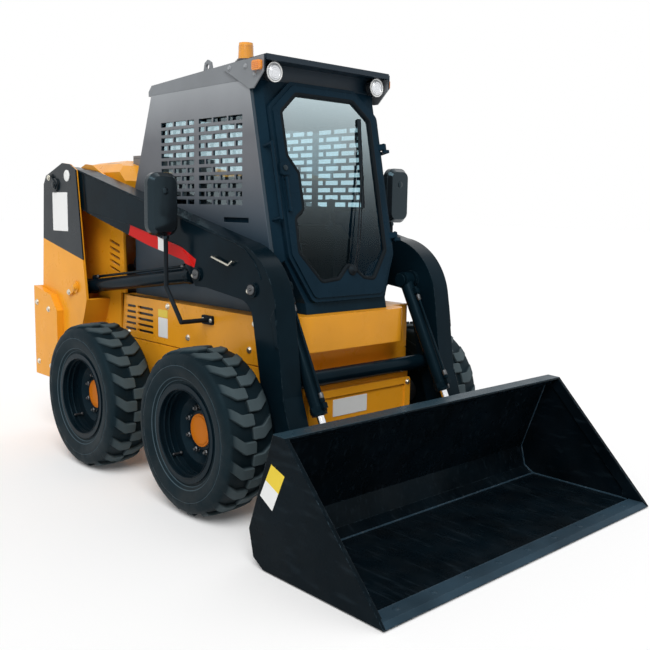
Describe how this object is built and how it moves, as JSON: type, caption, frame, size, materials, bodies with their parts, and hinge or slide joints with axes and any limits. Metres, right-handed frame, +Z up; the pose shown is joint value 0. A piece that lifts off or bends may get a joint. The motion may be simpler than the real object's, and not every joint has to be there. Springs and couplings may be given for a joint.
{
  "type": "skid steer loader",
  "caption": "Skid steer loader with a closed cab, radial lift arms, cylinders, quick coupler and a wide bucket on four lugged tyres",
  "frame": {"origin": "on the ground below the middle of the whole machine", "axes": "+Z up, -Y to the front of the machine, +X to its left side"},
  "size_m": [1.86, 3.302, 2.18],
  "materials": {
    "yellow": "gloss",
    "black": "gloss",
    "grey": "satin",
    "navy": "satin",
    "tyre": "matte",
    "wheel": "satin",
    "chrome": "polished",
    "glass": "clear",
    "seat": "matte",
    "plastic": "matte",
    "lamp": "clear",
    "amber": "clear",
    "steel": "worn",
    "iron": "rough",
    "mirror": "gloss"
  },
  "bodies": {
    "machine": {"chassis": "yellow", "axle_housings": "yellow", "side_panels": "yellow", "nose_panel": "yellow", "front_plate": "yellow", "engine_block": "iron", "towers": "yellow", "rear_bumpers": "yellow", "cab_frame": "navy", "cab_side_panels": "grey", "cab_glass": "glass", "cab_roof": "grey", "seat": "seat", "seat_base": "plastic", "control_pods": "plastic", "work_lights": "lamp", "beacon": "amber", "mirror_arms": "black", "mirrors": "mirror"},
    "arms": {"lift_arms": "black"},
    "bucket_assembly": {"coupler": "black", "bucket": "black", "cutting_edge": "steel"},
    "door": {"door_frame": "navy", "door_glass": "glass"},
    "hood": {"hood": "yellow"},
    "tailgate": {"tailgate": "yellow"},
    "front_right_wheel": {"tyre_front_right": "tyre", "wheel_front_right": "wheel"},
    "front_left_wheel": {"tyre_front_left": "tyre", "wheel_front_left": "wheel"},
    "rear_right_wheel": {"tyre_rear_right": "tyre", "wheel_rear_right": "wheel"},
    "rear_left_wheel": {"tyre_rear_left": "tyre", "wheel_rear_left": "wheel"},
    "lift_barrel_right": {"lift_barrel_right": "black"},
    "lift_rod_right": {"lift_rod_right": "chrome"},
    "tilt_barrel_right": {"tilt_barrel_right": "black"},
    "tilt_rod_right": {"tilt_rod_right": "chrome"},
    "lift_barrel_left": {"lift_barrel_left": "black"},
    "lift_rod_left": {"lift_rod_left": "chrome"},
    "tilt_barrel_left": {"tilt_barrel_left": "black"},
    "tilt_rod_left": {"tilt_rod_left": "chrome"}
  },
  "joints": [
    {"name": "front_right_wheel_spin", "type": "hinge", "parent": "machine", "child": "front_right_wheel", "pos_m": [-0.718, -0.306, 0.3865], "axis": [1, 0, 0], "continuous": true},
    {"name": "front_left_wheel_spin", "type": "hinge", "parent": "machine", "child": "front_left_wheel", "pos_m": [0.718, -0.306, 0.3865], "axis": [1, 0, 0], "continuous": true},
    {"name": "rear_right_wheel_spin", "type": "hinge", "parent": "machine", "child": "rear_right_wheel", "pos_m": [-0.718, 0.679, 0.3865], "axis": [1, 0, 0], "continuous": true},
    {"name": "rear_left_wheel_spin", "type": "hinge", "parent": "machine", "child": "rear_left_wheel", "pos_m": [0.718, 0.679, 0.3865], "axis": [1, 0, 0], "continuous": true},
    {"name": "arm_lift", "type": "hinge", "parent": "machine", "child": "arms", "pos_m": [0, 1.364, 1.515], "axis": [-1, 0, 0], "range_deg": [0, 66]},
    {"name": "bucket_tilt", "type": "hinge", "parent": "arms", "child": "bucket_assembly", "pos_m": [0, -0.771, 0.205], "axis": [1, 0, 0], "range_deg": [-22, 95]},
    {"name": "lift_barrel_right_swing", "type": "hinge", "parent": "machine", "child": "lift_barrel_right", "pos_m": [-0.53, 1.134, 0.926], "axis": [-1, 0, 0], "range_deg": [-1, 62]},
    {"name": "lift_rod_right_slide", "type": "slide", "parent": "lift_barrel_right", "child": "lift_rod_right", "axis": [0, -0.9919, 0.1273], "range_m": [-0.001, 0.69]},
    {"name": "tilt_barrel_right_swing", "type": "hinge", "parent": "arms", "child": "tilt_barrel_right", "pos_m": [-0.425, -0.496, 1.04], "axis": [1, 0, 0], "range_deg": [-3, 1]},
    {"name": "tilt_rod_right_slide", "type": "slide", "parent": "tilt_barrel_right", "child": "tilt_rod_right", "axis": [0, -0.4543, -0.8908], "range_m": [-0.06, 0.26]},
    {"name": "lift_barrel_left_swing", "type": "hinge", "parent": "machine", "child": "lift_barrel_left", "pos_m": [0.53, 1.134, 0.926], "axis": [-1, 0, 0], "range_deg": [-1, 62]},
    {"name": "lift_rod_left_slide", "type": "slide", "parent": "lift_barrel_left", "child": "lift_rod_left", "axis": [0, -0.9919, 0.1273], "range_m": [-0.001, 0.69]},
    {"name": "tilt_barrel_left_swing", "type": "hinge", "parent": "arms", "child": "tilt_barrel_left", "pos_m": [0.425, -0.496, 1.04], "axis": [1, 0, 0], "range_deg": [-3, 1]},
    {"name": "tilt_rod_left_slide", "type": "slide", "parent": "tilt_barrel_left", "child": "tilt_rod_left", "axis": [0, -0.4543, -0.8908], "range_m": [-0.06, 0.26]},
    {"name": "door_hinge", "type": "hinge", "parent": "machine", "child": "door", "pos_m": [0.372, -0.53122, 0.95736], "axis": [0, 0.2103, 0.9776], "range_deg": [0, 88]},
    {"name": "hood_hinge", "type": "hinge", "parent": "machine", "child": "hood", "pos_m": [0, 0.899, 1.462], "axis": [1, 0, 0], "range_deg": [0, 50]},
    {"name": "tailgate_hinge", "type": "hinge", "parent": "machine", "child": "tailgate", "pos_m": [0.44, 1.636, 0.905], "axis": [0, 0, -1], "range_deg": [0, 95]}
  ],
  "couplings": [
    {"joint": "rear_right_wheel_spin", "follows": "front_right_wheel_spin", "ratio": 1},
    {"joint": "rear_left_wheel_spin", "follows": "front_left_wheel_spin", "ratio": 1},
    {"joint": "lift_barrel_right_swing", "follows": "arm_lift", "ratio": 0.9222},
    {"joint": "lift_rod_right_slide", "follows": "arm_lift", "m_per_rad": 0.5926},
    {"joint": "tilt_barrel_right_swing", "follows": "bucket_tilt", "ratio": -0.023},
    {"joint": "tilt_rod_right_slide", "follows": "bucket_tilt", "m_per_rad": 0.1526},
    {"joint": "lift_barrel_left_swing", "follows": "arm_lift", "ratio": 0.9222},
    {"joint": "lift_rod_left_slide", "follows": "arm_lift", "m_per_rad": 0.5926},
    {"joint": "tilt_barrel_left_swing", "follows": "bucket_tilt", "ratio": -0.023},
    {"joint": "tilt_rod_left_slide", "follows": "bucket_tilt", "m_per_rad": 0.1526}
  ]
}
